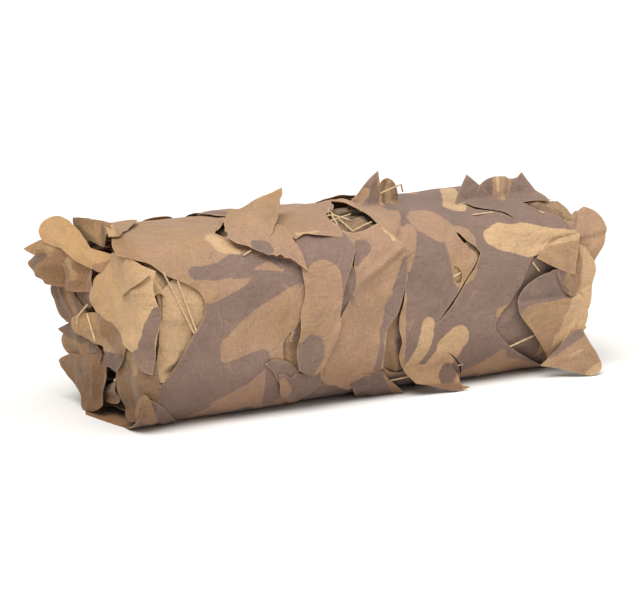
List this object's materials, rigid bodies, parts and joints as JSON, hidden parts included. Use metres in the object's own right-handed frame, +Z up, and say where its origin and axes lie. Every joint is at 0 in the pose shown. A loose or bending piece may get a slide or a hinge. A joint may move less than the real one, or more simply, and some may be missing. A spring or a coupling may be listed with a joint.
{
  "type": "rolled camouflage netting",
  "caption": "Flattened roll of leaf-cut desert camouflage cloth on its net, lying on its side, with loose leaves standing from its ends, top and front.",
  "frame": {"origin": "middle of the flat underside that the roll rests on", "axes": "+X along the roll, from its nearer end to its farther one; -Y is its front; +Z up, away from the flat underside"},
  "size_m": [0.3655, 0.14, 0.1437],
  "materials": {
    "roll_cloth": "thin woven cloth printed in tan, brown and ochre, matt",
    "leaf_tan": "thin woven cloth, tan print, matt",
    "leaf_brown": "thin woven cloth, mauve-brown print, matt",
    "leaf_ochre": "thin woven cloth, ochre print, matt"
  },
  "bodies": {
    "root": {"roll": "roll_cloth", "leaf_front_tongue": "leaf_tan", "leaf_front_long": "leaf_tan", "leaf_front_wide": "leaf_brown", "leaf_front_lobe": "leaf_brown", "leaf_shoulder": "leaf_tan", "leaf_low_fold": "leaf_brown", "leaf_floor_wide": "leaf_brown", "leaf_floor_spike": "leaf_brown", "leaf_floor_corner": "leaf_tan", "leaf_peak_left": "leaf_tan", "leaf_peak_middle": "leaf_brown", "leaf_peak_curl": "leaf_ochre", "leaf_peak_right": "leaf_brown", "leaf_peak_far": "leaf_brown", "leaf_top_sheet": "leaf_brown", "leaf_right_oval": "leaf_tan", "leaf_right_fold": "leaf_ochre", "leaf_end_tongue": "leaf_tan", "leaf_end_flap": "leaf_tan", "leaf_end_crumple": "leaf_brown", "leaf_end_back": "leaf_brown", "leaf_end_hook": "leaf_ochre", "leaf_end_square": "leaf_brown", "leaf_end_large": "leaf_tan", "leaf_end_low": "leaf_tan", "leaf_far_upper": "leaf_tan", "leaf_far_lower": "leaf_brown", "leaf_far_tip": "leaf_ochre", "leaf_back_left": "leaf_brown", "leaf_back_middle": "leaf_tan", "leaf_back_right": "leaf_brown", "leaf_back_end": "leaf_ochre", "leaf_back_peak": "leaf_tan"}
  },
  "joints": []
}
